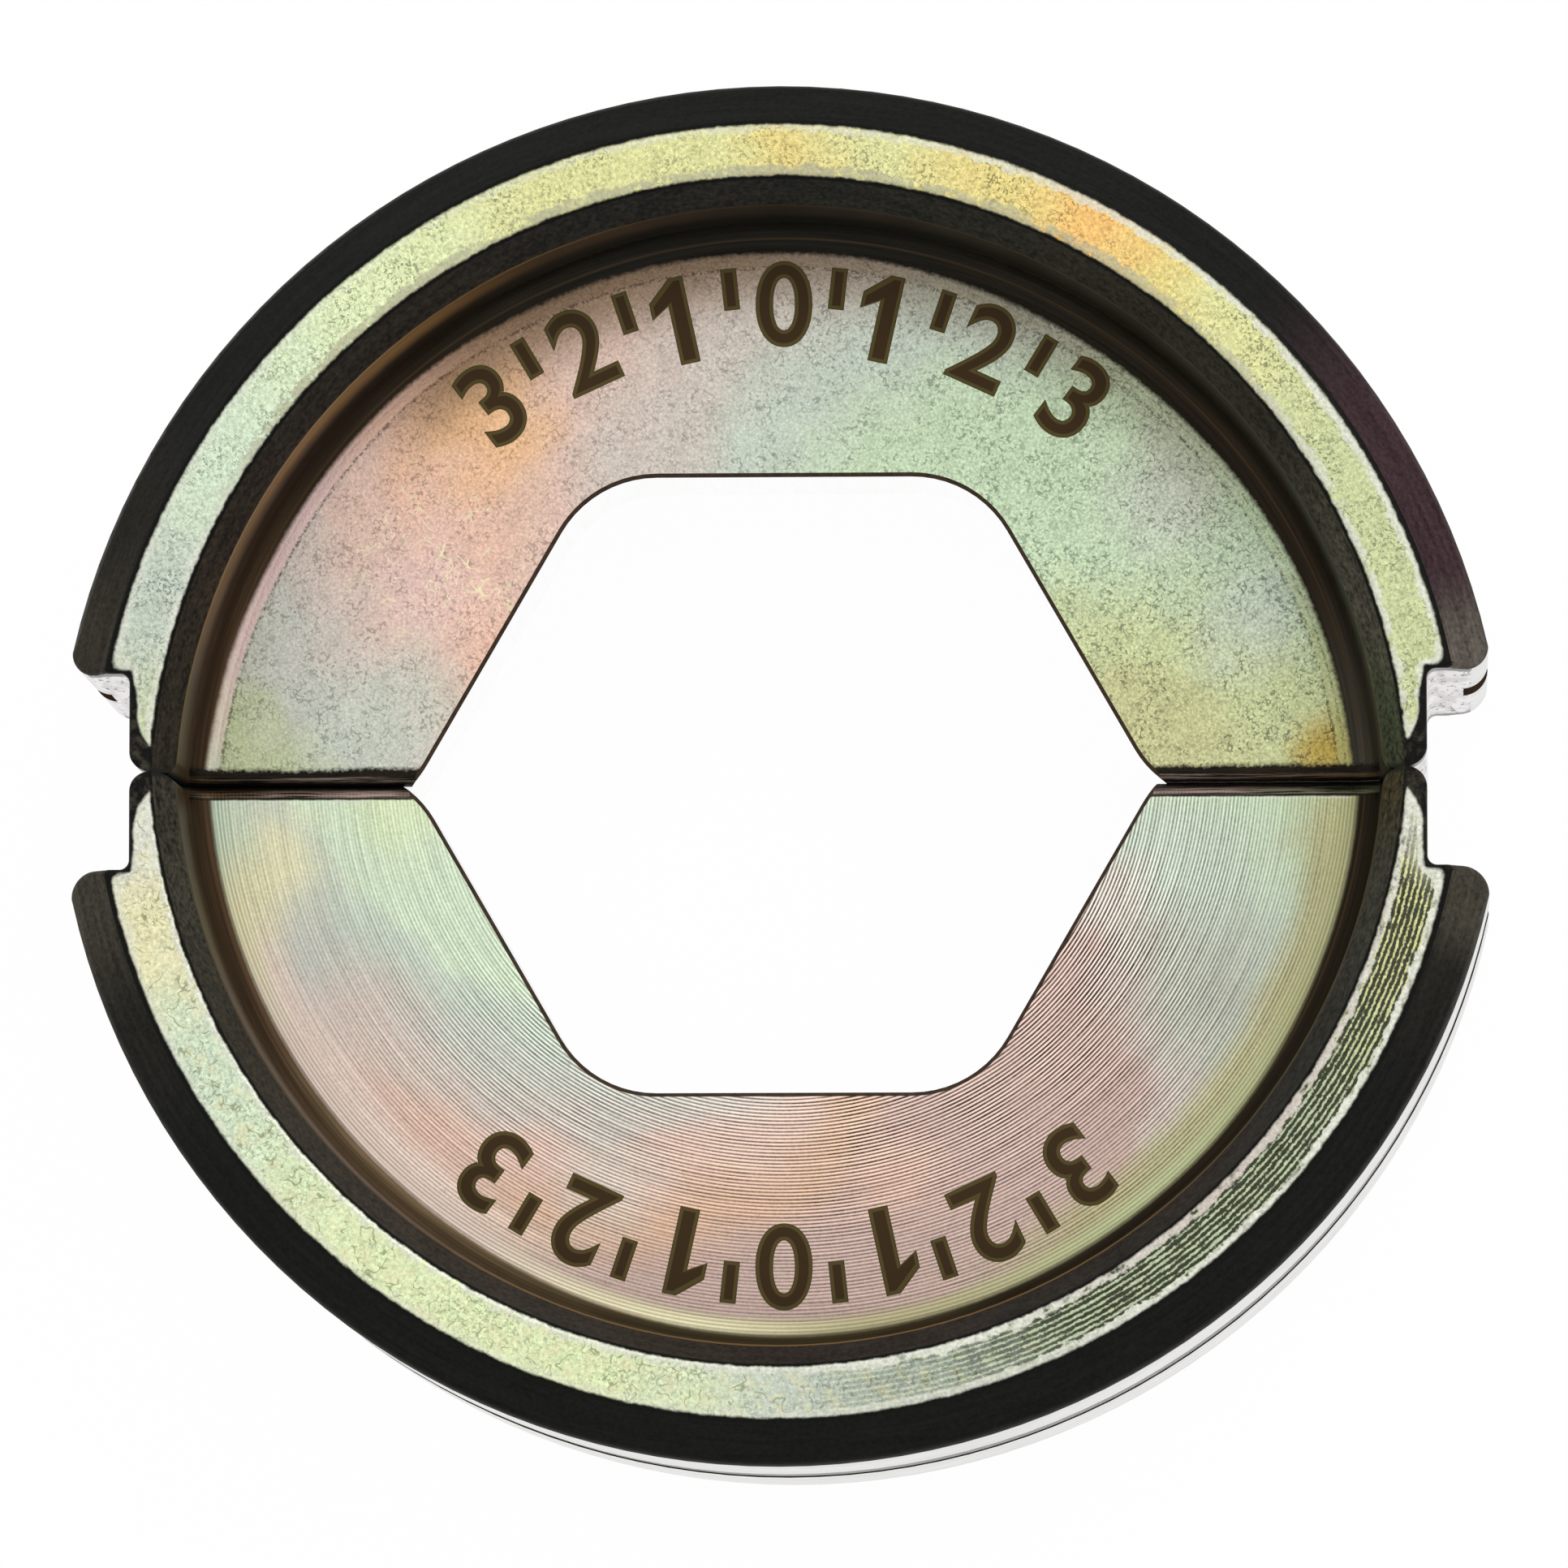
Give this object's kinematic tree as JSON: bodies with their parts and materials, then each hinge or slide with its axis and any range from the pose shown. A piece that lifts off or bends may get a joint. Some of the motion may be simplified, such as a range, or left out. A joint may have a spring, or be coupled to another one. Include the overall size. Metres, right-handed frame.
{
  "type": "crimping die",
  "caption": "Split round steel crimping die with a hexagonal crimp opening through a recessed web, a raised bevelled rim, a retaining groove and notched ends.",
  "frame": {"origin": "on the crimp axis, in the plane of the rear ledges that the closed dies lie on", "axes": "+Z along the crimp axis towards the front ledges, +X along the parting line, +Y the closing direction towards the upper half"},
  "size_m": [0.0434, 0.0424, 0.015],
  "materials": {
    "chromated_steel": "turned and milled steel with a yellow, faintly iridescent chromate finish, darker on the bevels"
  },
  "bodies": {
    "root": {"upper_half": "chromated_steel", "lower_half": "chromated_steel"}
  },
  "joints": []
}
